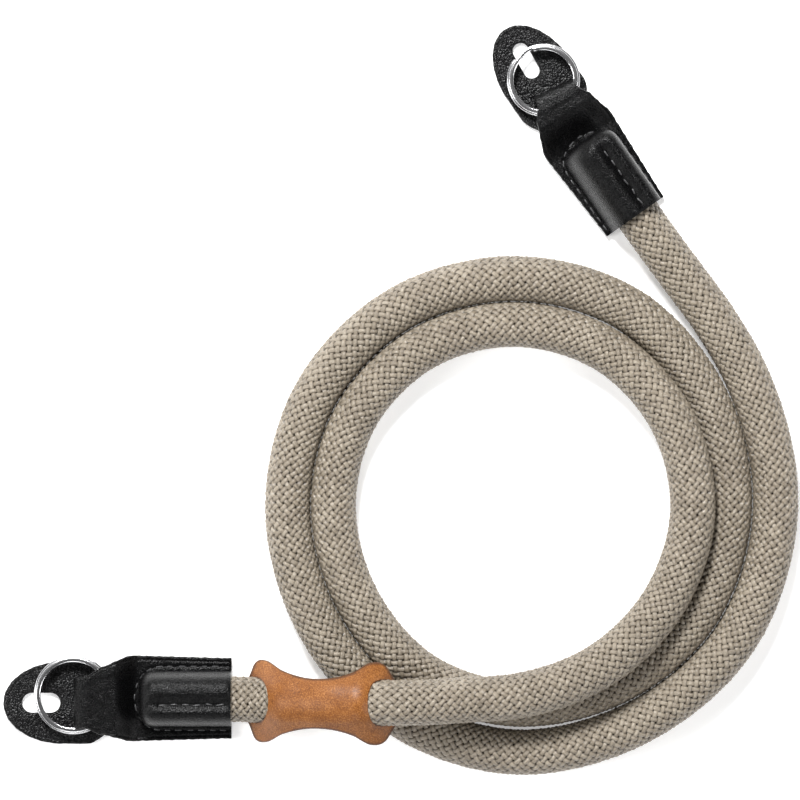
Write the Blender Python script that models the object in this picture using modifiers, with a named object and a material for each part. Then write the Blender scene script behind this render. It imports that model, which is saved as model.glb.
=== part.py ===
"""Rope neck strap for a camera, lying in two and a half loose turns.

A braided rope joins two leather ends. Each end has a moulded pocket over the rope's
tip, a flat loop round a split ring, and a slotted pad under the ring. A leather slider
is threaded on the rope beside the first end.

Metres, +Z up, the surface it lies on at z = 0. The origin is under the first end's
pocket, POCKET_SEAT inside its mouth, and the rope leaves that mouth along +X.
"""
from math import cos, exp, pi, radians, sin, sqrt, tan

import bmesh
import bpy
from mathutils import Matrix, Vector

# Clearances
GAP = 0.0003                    # between neighbouring pieces
RING_PLAY = 0.0004              # all round the ring in its channel

# Rope
ROPE_DIAMETER = 0.0114          # between the braid's crests
ROPE_STEP = 0.0155              # greatest distance between two points read off the route
ROPE_SIDES = 12

# Leather
COVER_LEATHER = 0.0012          # one layer of an end's cover
SEAT_LEATHER = 0.0015           # the cover under the rope
PAD_LEATHER = 0.0015
SLIDER_LEATHER = 0.0015

# Leather end
POCKET_SEAT = 0.0120            # from the mouth to the middle of the pocket
ROPE_IN_POCKET = 0.0185
POCKET_LENGTH = 0.0242
POCKET_WALL = 0.0012            # leather beside the rope
POCKET_SQUARENESS = 3.2         # 2 is a round pocket, more is a squarer one
POCKET_STATIONS = (0.18, 0.36, 0.52, 0.68, 0.82, 0.92, 0.97, 1)
DOME_STATIONS = (0.4, 0.7, 0.88, 0.97, 1.02)    # shares of the pocket's closed end
LOBE_HEIGHT = 0.0024            # leather over the rope at the pocket's two lobes
SEAM_DEPTH = 0.0011             # the groove between the lobes
SEAM_WIDTH = 0.0016
FLANGE_LENGTH = 0.0265          # from the mouth to the chamfer
CHAMFER_LENGTH = 0.0066
NECK_TAPER = 0.7                # share of the neck where it reaches the loop's width
NECK_STATIONS = (0, 0.33, 0.67, 1)
FOLD_TURNS = (30, 60, 85)       # degrees round the fold
COVER_EDGE_BEVEL = 0.0004

# Split ring
RING_WIRE_WIDTH = 0.0018
RING_WIRE_HEIGHT = 0.0008
RING_TURN_GAP = 0.0001          # between the two turns
RING_STEP_START = 0.90          # share of a turn where the wire steps up
RING_POINTS = 40                # in one turn
CHANNEL_SIDES = 64

# Protector pad
PAD_TIP = 0.0595                # from the mouth to the pad's tip
PAD_NOSE = 0.0155               # length of the round nose
PAD_NOSE_POINTS = 10
PAD_SIDE_POINTS = 10
PAD_SHOULDER = 0.0221           # from the pad's tip to where it narrows
PAD_TAIL_STRAIGHT = 0.0015
PAD_TAIL_WIDTH = 0.0130
PAD_TAIL_ROOM = 0.0014          # from the flange's end to the tail's, under the raised neck
NECK_STEP = 0.0024              # length over which the cover's underside steps up
SLOT_LENGTH = 0.0099
SLOT_CENTRE = 0.0496            # from the mouth
SLOT_END_POINTS = 8

# Slider
SLIDER_START = 0.0008           # from the mouth to the slider's nearer edge
SLIDER_LENGTH = 0.0440
SLIDER_EAR_WIDTH = 0.0211
SLIDER_SHIFT = -0.0003          # how far it sits to one side of the rope
SLIDER_BRIDGE = 0.0007          # the strap under the rope at each end
SLIDER_RISE = 0.0125            # length over which each end climbs past the rope
SLIDER_DRAPE = 0.72             # share of its bend's radius where the leather goes straight
SLIDER_FALL = 0.9               # fall of the straight part, for each unit across
SLIDER_COLUMNS = 40
SLIDER_ROWS = 12
SLIDER_OUTLINE = (
    # share of the length, share of the ears' width
    (0.00, 0.40),
    (0.07, 0.43),
    (0.10, 0.60),
    (0.13, 0.92),
    (0.19, 1.00),
    (0.29, 0.77),
    (0.43, 0.61),
    (0.57, 0.61),
    (0.70, 0.75),
    (0.81, 1.00),
    (0.885, 0.93),
    (0.935, 0.60),
    (0.965, 0.41),
    (1.00, 0.40),
)

ROPE_RADIUS = ROPE_DIAMETER / 2
ROPE_CLEAR = ROPE_RADIUS + GAP
ROPE_SEAT = SEAT_LEATHER + ROPE_CLEAR          # the rope's height in an end
RING_HEIGHT = 2 * RING_WIRE_HEIGHT + RING_TURN_GAP
LOOP_FLOOR = PAD_LEATHER + GAP
RING_FLOOR = LOOP_FLOOR + COVER_LEATHER + RING_PLAY
LOOP_TOP = RING_FLOOR + RING_HEIGHT + RING_PLAY + COVER_LEATHER
PAD_TAIL_END = FLANGE_LENGTH + PAD_TAIL_ROOM   # from the mouth to the tail's sewn end

# The rope's route, chosen by eye: from its tip in the first end to the coil
LEAD_IN = (
    # x, y, height of the rope's centre
    (-0.0065, 0.0000, 0.0075),
    (0.0028, 0.0000, 0.0075),
    (0.0120, 0.0000, 0.0075),
    (0.0200, -0.0002, 0.0085),
    (0.0300, -0.0004, 0.0122),
    (0.0410, -0.0005, 0.0167),
    (0.0520, -0.0005, 0.0193),
    (0.0620, -0.0004, 0.0189),
    (0.0730, 0.0002, 0.0179),
)
COIL_CENTRE = (0.0855, 0.0484)
COIL_START = 270                # degrees
COIL_TURN = 30                  # degrees from one row to the next
COIL = (
    # distance from the coil's centre, height of the rope's centre
    (0.0473, 0.0174),
    (0.0452, 0.0160),
    (0.0450, 0.0136),
    (0.0462, 0.0126),
    (0.0474, 0.0113),
    (0.0486, 0.0068),
    (0.0490, 0.0057),
    (0.0489, 0.0057),
    (0.0481, 0.0057),
    (0.0469, 0.0057),
    (0.0466, 0.0057),
    (0.0483, 0.0057),
    (0.0497, 0.0057),
    (0.0513, 0.0057),
    (0.0541, 0.0057),
    (0.0560, 0.0057),
    (0.0580, 0.0057),
    (0.0606, 0.0057),
    (0.0609, 0.0057),
    (0.0608, 0.0057),
    (0.0600, 0.0057),
    (0.0588, 0.0057),
    (0.0585, 0.0057),
    (0.0602, 0.0057),
    (0.0622, 0.0057),
    (0.0633, 0.0057),
    (0.0661, 0.0057),
    (0.0680, 0.0057),
    (0.0701, 0.0057),
)
LEAD_OUT = (
    (0.1372, 0.0992, 0.0057),
    (0.1300, 0.1090, 0.0057),
    (0.1227, 0.1188, 0.0066),
)

# How each soft end lies: shifts are to its left, seen from its mouth, and turns in degrees.
# The second end is seen rolled a little on its side, so it is narrower and leans.
ENDS = {
    "end_a": {
        "mouth": (POCKET_SEAT, 0.0000),
        "turn": 180,            # the way it points away from the rope
        "length": 0.0410,       # from the mouth to the fold
        "mouth_width": 0.0209,
        "flange_width": 0.0224,
        "neck_width": 0.0178,
        "loop_width": 0.0131,
        "edge_shift": 0.0,
        "loop_shift": 0.0011,
        "loop_turn": 0,
        "lean": 0.0,            # how far the pocket leans across, for each unit of height
        "seam_shift": 0.0012,   # from the rope's middle to the groove between the lobes
        "ring_diameter": 0.0206,
        "ring_centre": 0.0411,  # from the mouth
        "ring_shift": -0.0010,
        "pad_width": 0.0214,
        "pad_shift": 0.0012,
        "slot_width": 0.0051,
        "slot_turn": 0,
    },
    "end_b": {
        "mouth": (0.1168, 0.1252),
        "turn": 125,
        "length": 0.0398,
        "mouth_width": 0.0180,
        "flange_width": 0.0209,
        "neck_width": 0.0162,
        "loop_width": 0.0113,
        "edge_shift": -0.0005,
        "loop_shift": -0.0019,
        "loop_turn": -9,
        "lean": -0.2,
        "seam_shift": -0.0009,
        "ring_diameter": 0.0190,
        "ring_centre": 0.0428,
        "ring_shift": -0.0012,
        "pad_width": 0.0196,
        "pad_shift": -0.0005,
        "slot_width": 0.0041,
        "slot_turn": -6,
    },
}

COLOURS = {
    # red, green, blue, roughness, metallic
    "braided_rope": (0.33, 0.27, 0.20, 0.85, 0.0),
    "black_leather": (0.012, 0.012, 0.014, 0.45, 0.0),
    "tan_leather": (0.44, 0.19, 0.07, 0.50, 0.0),
    "steel": (0.62, 0.62, 0.64, 0.22, 1.0),
}


def clear_scene():
    for thing in list(bpy.data.objects):
        bpy.data.objects.remove(thing, do_unlink=True)


def new_collection(name):
    group = bpy.data.collections.new(name)
    bpy.context.scene.collection.children.link(group)
    return group


def new_material(name):
    red, green, blue, roughness, metallic = COLOURS[name]
    material = bpy.data.materials.new(name)
    material.use_nodes = True
    shader = material.node_tree.nodes["Principled BSDF"]
    shader.inputs["Base Color"].default_value = (red, green, blue, 1)
    shader.inputs["Roughness"].default_value = roughness
    shader.inputs["Metallic"].default_value = metallic
    return material


def smooth_route(points, step):
    """Points on the smooth curve through the given ones, no further apart than the step."""
    chords = [b - a for a, b in zip(points, points[1:])]
    lengths = [chord.length for chord in chords]
    ways = [chord / length for chord, length in zip(chords, lengths)]
    heading = [ways[0]]
    for i in range(1, len(ways)):
        before, after = lengths[i - 1], lengths[i]
        heading.append((ways[i - 1] * after + ways[i] * before) / (before + after))
    heading.append(ways[-1])
    route = []
    for i, length in enumerate(lengths):
        count = max(1, round(length / step))
        for k in range(count):
            t = k / count
            point = (
                points[i] * (2 * t**3 - 3 * t**2 + 1)
                + heading[i] * length * (t**3 - 2 * t**2 + t)
                + points[i + 1] * (3 * t**2 - 2 * t**3)
                + heading[i + 1] * length * (t**3 - t**2)
            )
            point.z = max(point.z, ROPE_RADIUS)
            route.append(point)
    route.append(points[-1])
    return route


def rope_route():
    """The points of the rope's centre line, from the tip in end A to the tip in end B."""
    points = [Vector(row) for row in LEAD_IN]
    for i, (radius, height) in enumerate(COIL):
        turn = radians(COIL_START + COIL_TURN * i)
        x = COIL_CENTRE[0] + radius * cos(turn)
        y = COIL_CENTRE[1] + radius * sin(turn)
        points.append(Vector((x, y, height)))
    points += [Vector(row) for row in LEAD_OUT]
    place = end_frame(ENDS["end_b"])
    across = leaned(ENDS["end_b"], 0, ROPE_SEAT)
    for depth in (0, ROPE_IN_POCKET / 2, ROPE_IN_POCKET):
        points.append(place @ Vector((depth, across, ROPE_SEAT)))
    return smooth_route(points, ROPE_STEP)


def tube(name, points, radius, group):
    """A round curve object along the points, with flat ends."""
    curve = bpy.data.curves.new(name, "CURVE")
    curve.dimensions = "3D"
    curve.twist_mode = "Z_UP"
    curve.bevel_depth = radius
    curve.bevel_resolution = (ROPE_SIDES - 4) // 2
    curve.use_fill_caps = True
    spline = curve.splines.new("POLY")
    spline.points.add(len(points) - 1)
    for node, point in zip(spline.points, points):
        node.co = (*point, 1)
    thing = bpy.data.objects.new(name, curve)
    group.objects.link(thing)
    return thing


def mesh_of(thing):
    """Replaces a curve object by a closed mesh object of the same shape and name."""
    name, place, groups = thing.name, thing.matrix_world.copy(), thing.users_collection
    view = bpy.context.evaluated_depsgraph_get()
    mesh = bpy.data.meshes.new_from_object(thing.evaluated_get(view))
    bpy.data.objects.remove(thing, do_unlink=True)
    work = bmesh.new()
    work.from_mesh(mesh)
    bmesh.ops.remove_doubles(work, verts=work.verts, dist=1e-6)
    bmesh.ops.recalc_face_normals(work, faces=work.faces)
    work.to_mesh(mesh)
    work.free()
    solid = bpy.data.objects.new(name, mesh)
    solid.matrix_world = place
    groups[0].objects.link(solid)
    return solid


def loft(name, sections, group):
    """A closed solid through sections with equal numbers of points."""
    work = bmesh.new()
    rings = [[work.verts.new(point) for point in section] for section in sections]
    count = len(rings[0])
    for near, far in zip(rings, rings[1:]):
        for i in range(count):
            j = (i + 1) % count
            work.faces.new((near[i], near[j], far[j], far[i]))
    work.faces.new(rings[0][::-1])
    work.faces.new(rings[-1])
    bmesh.ops.recalc_face_normals(work, faces=work.faces)
    mesh = bpy.data.meshes.new(name)
    work.to_mesh(mesh)
    work.free()
    solid = bpy.data.objects.new(name, mesh)
    group.objects.link(solid)
    return solid


def as_cutter(thing):
    thing.hide_render = True
    thing.display_type = "WIRE"
    return thing


def cut(thing, cutter):
    change = thing.modifiers.new("cut_" + cutter.name, "BOOLEAN")
    change.operation = "DIFFERENCE"
    change.solver = "EXACT"
    change.object = cutter


def shade(thing, material, angle=35):
    thing.data.materials.clear()
    thing.data.materials.append(material)
    if thing.type == "MESH":
        thing.data.shade_smooth()
        thing.data.set_sharp_from_angle(angle=radians(angle))


def eased(share):
    """0 to 1 as the share goes from 0 to 1, level at both ends."""
    share = min(1, max(0, share))
    return share * share * (3 - 2 * share)


def smooth_value(rows, share):
    """The value at a share, on the smooth curve through rows of shares and values."""
    slopes = [(b[1] - a[1]) / (b[0] - a[0]) for a, b in zip(rows, rows[1:])]
    slopes = [slopes[0]] + slopes + [slopes[-1]]
    for i in range(len(rows) - 1):
        (start, low), (stop, high) = rows[i], rows[i + 1]
        if share > stop and i < len(rows) - 2:
            continue
        span = stop - start
        t = min(1, max(0, (share - start) / span))
        out, into = (slopes[i] + slopes[i + 1]) / 2, (slopes[i + 1] + slopes[i + 2]) / 2
        curve = low * (2 * t**3 - 3 * t**2 + 1) + high * (3 * t**2 - 2 * t**3)
        return curve + span * (out * (t**3 - 2 * t**2 + t) + into * (t**3 - t**2))


def end_frame(end):
    """Places an end: its X runs from the mouth to the fold, its Z is up."""
    place = Matrix.Translation((*end["mouth"], 0))
    return place @ Matrix.Rotation(radians(end["turn"]), 4, "Z")


def leaned(end, across, height):
    """Where a point of the pocket lies across the end, once the pocket leans."""
    return across + end["lean"] * max(0, height - 2 * COVER_LEATHER)


def cover_half_width(end, along):
    """Half the cover's width at a distance from the mouth."""
    mouth, flange = end["mouth_width"] / 2, end["flange_width"] / 2
    neck, loop = end["neck_width"] / 2, end["loop_width"] / 2
    if along <= FLANGE_LENGTH:
        return mouth + (flange - mouth) * along / FLANGE_LENGTH
    if along <= FLANGE_LENGTH + CHAMFER_LENGTH:
        return flange + (neck - flange) * (along - FLANGE_LENGTH) / CHAMFER_LENGTH
    neck_start = FLANGE_LENGTH + CHAMFER_LENGTH
    taper = NECK_TAPER * (end["length"] - neck_start)
    return neck + (loop - neck) * eased((along - neck_start) / taper)


def pocket_rise(end, along, across):
    """How far the moulded pocket stands above the flange at a point."""
    half = ROPE_CLEAR + POCKET_WALL
    past = max(0, along - ROPE_IN_POCKET) / (POCKET_LENGTH - ROPE_IN_POCKET)
    fill = 1 - (abs(across) / half) ** POCKET_SQUARENESS - past**POCKET_SQUARENESS
    if fill <= 0:
        return 0
    crest = ROPE_SEAT + ROPE_RADIUS + LOBE_HEIGHT - 2 * COVER_LEATHER
    seam = SEAM_DEPTH * exp(-(((across - end["seam_shift"]) / SEAM_WIDTH) ** 2)) * (1 - past)
    return crest * fill ** (1 / POCKET_SQUARENESS) - seam


def cover_floor(along):
    """Height of the cover's underside, which steps up over the pad's tail."""
    return LOOP_FLOOR * eased(1 + (along - FLANGE_LENGTH) / NECK_STEP)


def cover_top(end, along):
    """Height of the cover's top beside the pocket: the flange, then up over the ring."""
    flange_top = 2 * COVER_LEATHER
    ring_edge = end["ring_centre"] - end["ring_diameter"] / 2 - RING_PLAY
    climb = eased((along - POCKET_LENGTH) / (ring_edge - POCKET_LENGTH))
    return flange_top + (LOOP_TOP - flange_top) * climb


def cover_section(end, along, low, high):
    """One section of the cover, as points in the end's own frame."""
    half_pocket = ROPE_CLEAR + POCKET_WALL
    edge = cover_half_width(end, along)
    corner = min(COVER_EDGE_BEVEL, (high - low) / 4)
    inside = min(half_pocket, edge - 2 * corner)
    seam = end["seam_shift"] / half_pocket
    side = [(edge - corner, low), (edge, low + corner), (edge, high - corner), (edge - corner, high)]
    outline = list(side)
    for share in (*reversed(POCKET_STATIONS), 0, *(-station for station in POCKET_STATIONS)):
        place = share + seam * (1 - share * share)
        outline.append((inside * place, high + pocket_rise(end, along, half_pocket * place)))
    outline += [(-across, height) for across, height in reversed(side)]
    skew = eased((along - FLANGE_LENGTH) / (end["length"] - FLANGE_LENGTH))
    shift, slant = end["loop_shift"] * skew, tan(radians(end["loop_turn"])) * skew
    points = []
    for across, height in outline:
        leaning = leaned(end, across, height) if height > high else across
        if abs(across) > inside:
            leaning += end["edge_shift"] * (1 - skew)
        points.append((along - slant * across, leaning + shift, height))
    return points


def cover_sections(end):
    """Sections across the cover, from the mouth to the fold."""
    dome = POCKET_LENGTH - ROPE_IN_POCKET
    neck_start = FLANGE_LENGTH + CHAMFER_LENGTH
    half_fold = (LOOP_TOP - LOOP_FLOOR) / 2
    straight = end["length"] - half_fold - neck_start
    stations = [0, ROPE_IN_POCKET / 2, ROPE_IN_POCKET]
    stations += [ROPE_IN_POCKET + dome * share for share in DOME_STATIONS]
    stations += [FLANGE_LENGTH - NECK_STEP / 2, FLANGE_LENGTH]
    stations.append(end["ring_centre"] - end["ring_diameter"] / 2)
    stations += [neck_start + straight * share for share in NECK_STATIONS]
    sections = []
    for along in sorted(stations):
        sections.append(cover_section(end, along, cover_floor(along), cover_top(end, along)))
    for turn in FOLD_TURNS:
        drop = half_fold * (1 - cos(radians(turn)))
        along = end["length"] - half_fold * (1 - sin(radians(turn)))
        sections.append(cover_section(end, along, LOOP_FLOOR + drop, LOOP_TOP - drop))
    return sections


def make_cover(name, end, parts, cutters, rope_cutter):
    cover = loft(name + "_cover", cover_sections(end), parts)
    cover.matrix_world = end_frame(end)
    cut(cover, rope_cutter)
    cut(cover, ring_channel(name, end, cutters))
    return cover


def ring_frame(end):
    """Places a ring: its origin is its centre, on the surface."""
    return end_frame(end) @ Matrix.Translation((end["ring_centre"], end["ring_shift"], 0))


def ring_channel(name, end, cutters):
    """The flat round channel that the ring turns in."""
    inner = end["ring_diameter"] / 2 - RING_WIRE_WIDTH - RING_PLAY
    outer = end["ring_diameter"] / 2 + RING_PLAY
    low, high = RING_FLOOR - RING_PLAY, RING_FLOOR + RING_HEIGHT + RING_PLAY
    work = bmesh.new()
    corners = ((outer, 0, high), (outer, 0, low), (inner, 0, low), (inner, 0, high))
    verts = [work.verts.new(corner) for corner in corners]
    for i in range(4):
        work.edges.new((verts[i], verts[(i + 1) % 4]))
    mesh = bpy.data.meshes.new(name + "_channel")
    work.to_mesh(mesh)
    work.free()
    channel = bpy.data.objects.new(name + "_channel", mesh)
    cutters.objects.link(channel)
    turned = channel.modifiers.new("turned", "SCREW")
    turned.steps = turned.render_steps = CHANNEL_SIDES
    turned.use_merge_vertices = True
    turned.merge_threshold = 1e-5
    channel.matrix_world = ring_frame(end)
    return as_cutter(channel)


def make_ring(name, end, parts, cutters):
    """A flat wire of two turns that steps from the lower turn to the upper one."""
    radius = (end["ring_diameter"] - RING_WIRE_WIDTH) / 2
    pitch = RING_WIRE_HEIGHT + RING_TURN_GAP
    points = []
    for k in range(int(RING_POINTS * (1 + RING_STEP_START)) + 1):
        turn = k / RING_POINTS
        lift = eased((turn - RING_STEP_START) / (1 - RING_STEP_START)) * pitch
        angle = 2 * pi * turn
        points.append((radius * cos(angle), radius * sin(angle), lift))
    half_width, half_height = RING_WIRE_WIDTH / 2, RING_WIRE_HEIGHT / 2
    bevel = half_height / 2
    section = (
        (half_width, half_height - bevel),
        (half_width - bevel, half_height),
        (bevel - half_width, half_height),
        (-half_width, half_height - bevel),
        (-half_width, bevel - half_height),
        (bevel - half_width, -half_height),
        (half_width - bevel, -half_height),
        (half_width, bevel - half_height),
    )
    profile = flat_outline(name + "_wire_section", [section], 0, cutters)
    curve = bpy.data.curves.new(name + "_ring", "CURVE")
    curve.dimensions = "3D"
    curve.twist_mode = "Z_UP"
    curve.bevel_mode = "OBJECT"
    curve.bevel_object = as_cutter(profile)
    curve.use_fill_caps = True
    spline = curve.splines.new("POLY")
    spline.points.add(len(points) - 1)
    for node, point in zip(spline.points, points):
        node.co = (*point, 1)
    ring = bpy.data.objects.new(name + "_ring", curve)
    parts.objects.link(ring)
    ring.matrix_world = ring_frame(end) @ Matrix.Translation((0, 0, RING_FLOOR + half_height))
    bpy.context.view_layer.update()
    return mesh_of(ring)


def flat_outline(name, outlines, thickness, group):
    """A flat curve object of closed outlines, filled and thickened."""
    curve = bpy.data.curves.new(name, "CURVE")
    curve.dimensions = "2D"
    curve.fill_mode = "BOTH" if thickness else "NONE"
    curve.extrude = thickness / 2
    for outline in outlines:
        spline = curve.splines.new("POLY")
        spline.points.add(len(outline) - 1)
        spline.use_cyclic_u = True
        for node, (x, y) in zip(spline.points, outline):
            node.co = (x, y, 0, 1)
    thing = bpy.data.objects.new(name, curve)
    group.objects.link(thing)
    return thing


def pad_half_width(end, along):
    """Half the pad's width at a distance from its tip."""
    full, tail = end["pad_width"] / 2, PAD_TAIL_WIDTH / 2
    if along < PAD_NOSE:
        return full * sqrt(1 - (1 - along / PAD_NOSE) ** 2)
    length = PAD_TIP - PAD_TAIL_END - PAD_TAIL_STRAIGHT - PAD_SHOULDER
    return full + (tail - full) * eased((along - PAD_SHOULDER) / length)


def pad_outline(end):
    """The pad's outline, a round nose and a narrower tail, with X from tail to tip."""
    length = PAD_TIP - PAD_TAIL_END
    quarter = pi / 2 / PAD_NOSE_POINTS
    stations = [PAD_NOSE * (1 - cos(quarter * k)) for k in range(PAD_NOSE_POINTS + 1)]
    side = (length - PAD_NOSE) / PAD_SIDE_POINTS
    stations += [PAD_NOSE + side * k for k in range(1, PAD_SIDE_POINTS + 1)]
    right = [(length - along, pad_half_width(end, along)) for along in stations[1:]]
    left = [(x, -y) for x, y in reversed(right)]
    return [(length, 0)] + right + left


def slot_outline(end, centre):
    radius = end["slot_width"] / 2
    straight = SLOT_LENGTH / 2 - radius
    turned = Matrix.Rotation(radians(end["slot_turn"]), 2)
    outline = []
    for side in (1, -1):
        for k in range(SLOT_END_POINTS + 1):
            turn = pi * (k / SLOT_END_POINTS - side / 2)
            x, y = turned @ Vector((side * straight + radius * cos(turn), radius * sin(turn)))
            outline.append((centre + x, y))
    return outline


def make_pad(name, end, parts):
    slot = slot_outline(end, SLOT_CENTRE - PAD_TAIL_END)
    pad = flat_outline(name + "_pad", [pad_outline(end), slot], PAD_LEATHER, parts)
    tail = Matrix.Translation((PAD_TAIL_END, end["pad_shift"], PAD_LEATHER / 2))
    pad.matrix_world = end_frame(end) @ tail
    bpy.context.view_layer.update()
    return mesh_of(pad)


def rope_at(route, x):
    """The rope's centre and slope where the straight lead-in passes x."""
    for a, b in zip(route, route[1:]):
        if a.x <= x <= b.x:
            point = a.lerp(b, (x - a.x) / (b.x - a.x))
            return point.y, point.z, (b.z - a.z) / (b.x - a.x)
    return route[0].y, route[0].z, 0


def slider_height(x, across, share, route):
    """Height of the slider's middle surface: under the rope at its ends, over it between."""
    _, centre, slope = rope_at(route, x)
    stand = (ROPE_CLEAR + SLIDER_LEATHER / 2) * sqrt(1 + slope * slope)
    inward = min(share, 1 - share) * SLIDER_LENGTH
    climb = min(1, max(0, (inward - SLIDER_BRIDGE) / SLIDER_RISE))
    bend = min(abs(across), stand * SLIDER_DRAPE)
    drape = sqrt(stand**2 - bend**2) - SLIDER_FALL * (abs(across) - bend)
    return centre - stand + sin(climb * pi / 2) * (stand + drape)


def make_slider(route, parts, rope_cutter):
    """A leather sheet, bent over the rope and cut where the rope passes through it."""
    work = bmesh.new()
    rows = []
    for i in range(SLIDER_COLUMNS + 1):
        share = i / SLIDER_COLUMNS
        x = POCKET_SEAT + SLIDER_START + SLIDER_LENGTH * share
        y, _, _ = rope_at(route, x)
        half = SLIDER_EAR_WIDTH / 2 * smooth_value(SLIDER_OUTLINE, share)
        row = []
        for j in range(SLIDER_ROWS + 1):
            across = half * (2 * j / SLIDER_ROWS - 1)
            height = slider_height(x, across + SLIDER_SHIFT, share, route)
            row.append(work.verts.new((x, y + across + SLIDER_SHIFT, height)))
        rows.append(row)
    for near, far in zip(rows, rows[1:]):
        for j in range(SLIDER_ROWS):
            work.faces.new((near[j], near[j + 1], far[j + 1], far[j]))
    bmesh.ops.recalc_face_normals(work, faces=work.faces)
    mesh = bpy.data.meshes.new("slider")
    work.to_mesh(mesh)
    work.free()
    slider = bpy.data.objects.new("slider", mesh)
    parts.objects.link(slider)
    leather = slider.modifiers.new("leather", "SOLIDIFY")
    leather.thickness = SLIDER_LEATHER
    leather.offset = 0
    leather.use_even_offset = True
    cut(slider, rope_cutter)
    return slider


def lengthened(route, extra):
    """The route with both its ends moved outwards."""
    first = route[0] + (route[0] - route[1]).normalized() * extra
    last = route[-1] + (route[-1] - route[-2]).normalized() * extra
    return [first] + route[1:-1] + [last]


def make_strap():
    clear_scene()
    parts = new_collection("camera_neck_strap")
    cutters = new_collection("cutters")
    finish = {name: new_material(name) for name in COLOURS}
    route = rope_route()
    rope = tube("rope", route, ROPE_RADIUS, parts)
    rope.data.materials.append(finish["braided_rope"])
    clearance = tube("rope_clearance", lengthened(route, GAP), ROPE_CLEAR, cutters)
    bpy.context.view_layer.update()
    rope_cutter = as_cutter(mesh_of(clearance))
    for name, end in ENDS.items():
        shade(make_cover(name, end, parts, cutters, rope_cutter), finish["black_leather"])
        shade(make_pad(name, end, parts), finish["black_leather"])
        shade(make_ring(name, end, parts, cutters), finish["steel"])
    shade(make_slider(route, parts, rope_cutter), finish["tan_leather"])


make_strap()
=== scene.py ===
"""Looks of a rope neck strap for a camera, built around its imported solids.

Metres, in the frame of the solids: +Z up, the strap lies on z = 0. The rope's yarns are
real geometry, laid out along the same route as the rope's solid. The leather ends, pads,
split rings and slider repeat the solids' own formulas, with finer faces and with the
creases, stitches and seams that the solids leave out.
"""
from math import cos, exp, hypot, pi, radians, sin, sqrt, tan

import bmesh
import bpy
import numpy as np
from mathutils import Matrix, Vector


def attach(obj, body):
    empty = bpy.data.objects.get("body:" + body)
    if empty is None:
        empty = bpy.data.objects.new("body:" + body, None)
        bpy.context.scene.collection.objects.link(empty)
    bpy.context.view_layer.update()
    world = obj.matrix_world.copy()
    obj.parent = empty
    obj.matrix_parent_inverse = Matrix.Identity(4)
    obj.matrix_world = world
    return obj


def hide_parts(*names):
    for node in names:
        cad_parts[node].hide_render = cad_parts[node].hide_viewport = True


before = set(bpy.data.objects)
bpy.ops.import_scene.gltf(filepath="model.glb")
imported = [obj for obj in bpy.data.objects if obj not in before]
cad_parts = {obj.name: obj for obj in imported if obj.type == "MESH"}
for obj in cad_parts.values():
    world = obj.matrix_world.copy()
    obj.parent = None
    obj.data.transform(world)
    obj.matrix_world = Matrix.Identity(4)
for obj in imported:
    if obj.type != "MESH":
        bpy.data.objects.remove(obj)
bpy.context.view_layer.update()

UP = np.array((0.0, 0.0, 1.0))
DICE = np.random.RandomState(12)

# Sizes shared with the solids
GAP = 0.0003                    # between neighbouring pieces
RING_PLAY = 0.0004              # all round the ring in its channel
ROPE_RADIUS = 0.0057            # between the braid's crests
ROPE_CLEAR = ROPE_RADIUS + GAP
COVER_LEATHER = 0.0012          # one layer of an end's cover
SEAT_LEATHER = 0.0015           # the cover under the rope
PAD_LEATHER = 0.0015
SLIDER_LEATHER = 0.0015
ROPE_SEAT = SEAT_LEATHER + ROPE_CLEAR
POCKET_SEAT = 0.0120            # from the mouth to the middle of the pocket
ROPE_IN_POCKET = 0.0185
POCKET_LENGTH = 0.0242
POCKET_WALL = 0.0012            # leather beside the rope
POCKET_HALF = ROPE_CLEAR + POCKET_WALL
POCKET_SQUARENESS = 3.2         # 2 is a round pocket, more is a squarer one
LOBE_HEIGHT = 0.0024            # leather over the rope at the pocket's two lobes
SEAM_DEPTH = 0.0011             # the groove between the lobes
SEAM_WIDTH = 0.0016
FLANGE_LENGTH = 0.0265          # from the mouth to the chamfer
CHAMFER_LENGTH = 0.0066
NECK_TAPER = 0.7                # share of the neck where it reaches the loop's width
NECK_STEP = 0.0024              # length over which the cover's underside steps up
RING_WIRE_WIDTH = 0.0018
RING_WIRE_HEIGHT = 0.0008
RING_TURN_GAP = 0.0001          # between the two turns
RING_STEP_START = 0.90          # share of a turn where the wire steps up
RING_HEIGHT = 2 * RING_WIRE_HEIGHT + RING_TURN_GAP
PAD_TIP = 0.0595                # from the mouth to the pad's tip
PAD_NOSE = 0.0155               # length of the round nose
PAD_SHOULDER = 0.0221           # from the pad's tip to where it narrows
PAD_TAIL_STRAIGHT = 0.0015
PAD_TAIL_WIDTH = 0.0130
PAD_TAIL_END = FLANGE_LENGTH + 0.0014
SLOT_LENGTH = 0.0099
SLOT_CENTRE = 0.0496            # from the mouth
LOOP_FLOOR = PAD_LEATHER + GAP
RING_FLOOR = LOOP_FLOOR + COVER_LEATHER + RING_PLAY
LOOP_TOP = RING_FLOOR + RING_HEIGHT + RING_PLAY + COVER_LEATHER
SLIDER_START = 0.0008           # from the mouth to the slider's nearer edge
SLIDER_LENGTH = 0.0440
SLIDER_EAR_WIDTH = 0.0211
SLIDER_SHIFT = -0.0003          # how far it sits to one side of the rope
SLIDER_BRIDGE = 0.0007          # the strap under the rope at each end
SLIDER_RISE = 0.0125            # length over which each end climbs past the rope
SLIDER_BEND = 0.0007            # half the length over which the climb starts
SLIDER_DRAPE = 0.72             # share of its bend's radius where the leather goes straight
SLIDER_FALL = 0.9               # fall of the straight part, for each unit across
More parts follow.
